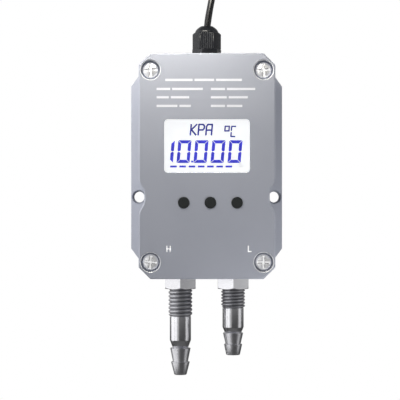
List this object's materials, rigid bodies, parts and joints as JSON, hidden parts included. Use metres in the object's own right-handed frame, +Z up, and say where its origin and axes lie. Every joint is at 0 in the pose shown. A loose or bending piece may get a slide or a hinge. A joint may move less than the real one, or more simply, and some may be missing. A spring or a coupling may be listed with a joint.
{
  "type": "differential pressure transmitter",
  "caption": "Wall-mounted differential pressure transmitter: cast housing with a lit display, push buttons, two barbed hose ports below and a cable gland with a lead on top.",
  "frame": {"origin": "midway between the two mounting holes, on the wall plane that the housing's back lies on", "axes": "+Z up, towards the cable gland; the cover faces -Y; +X to the right of someone facing the cover"},
  "size_m": [0.0706, 0.0659, 0.1964],
  "materials": {
    "cast_aluminium": "satin cast, clear coated",
    "nickel": "bright nickel plate",
    "screw_steel": "bright zinc plate",
    "clear_window": "clear polycarbonate",
    "lcd_glass": "lit white display",
    "lcd_backlight": "white light guide",
    "lcd_frame": "tin plate",
    "button_black": "matte black",
    "switch_black": "moulded black",
    "board_green": "green solder mask",
    "connector_white": "natural nylon",
    "ribbon_grey": "grey ribbon",
    "sensor_body": "moulded black",
    "silicone": "translucent silicone",
    "terminal_green": "moulded green",
    "rubber_black": "black rubber",
    "adhesive_black": "black foam tape",
    "gland_nylon": "black nylon",
    "cable_sheath": "glossy black sheath",
    "core_red": "red insulation",
    "core_black": "black insulation",
    "ferrule_tin": "tinned copper",
    "tie_black": "black nylon"
  },
  "bodies": {
    "housing": {"housing_base": "cast_aluminium", "front_cover": "cast_aluminium", "cover_gasket": "rubber_black", "cover_screws": "screw_steel", "display_window": "clear_window", "window_seal": "adhesive_black", "lcd_panel": "lcd_glass", "lcd_backlight": "lcd_backlight", "lcd_bezel": "lcd_frame", "display_board": "board_green", "display_screws": "screw_steel", "main_board": "board_green", "main_board_screws": "screw_steel", "board_connectors": "connector_white", "board_ribbon": "ribbon_grey", "pressure_sensor": "sensor_body", "tube_high": "silicone", "tube_low": "silicone", "terminal_block": "terminal_green", "terminal_screws": "screw_steel", "port_fitting_high": "nickel", "port_fitting_low": "nickel", "port_nuts_outer": "nickel", "port_nuts_inner": "nickel", "port_seals": "rubber_black", "gland_body": "gland_nylon", "gland_nut": "gland_nylon", "gland_seal": "rubber_black", "gland_washer": "rubber_black", "gland_lock_nut": "gland_nylon", "cable_lead_in": "cable_sheath", "wire_positive": "core_red", "wire_negative": "core_black", "cable_run": "cable_sheath", "cable_coil": "cable_sheath", "cable_tie": "tie_black", "cable_tail": "cable_sheath", "core_ends": "core_red", "core_ferrules": "ferrule_tin", "switch_left": "switch_black", "switch_centre": "switch_black", "switch_right": "switch_black"},
    "button_left": {"button_left": "button_black"},
    "button_centre": {"button_centre": "button_black"},
    "button_right": {"button_right": "button_black"}
  },
  "joints": [
    {"name": "press_left", "type": "slide", "parent": "housing", "child": "button_left", "axis": [0, 1, 0], "range_m": [0, 0.0006], "stiffness_N_per_m": 800},
    {"name": "press_centre", "type": "slide", "parent": "housing", "child": "button_centre", "axis": [0, 1, 0], "range_m": [0, 0.0006], "stiffness_N_per_m": 800},
    {"name": "press_right", "type": "slide", "parent": "housing", "child": "button_right", "axis": [0, 1, 0], "range_m": [0, 0.0006], "stiffness_N_per_m": 800}
  ]
}
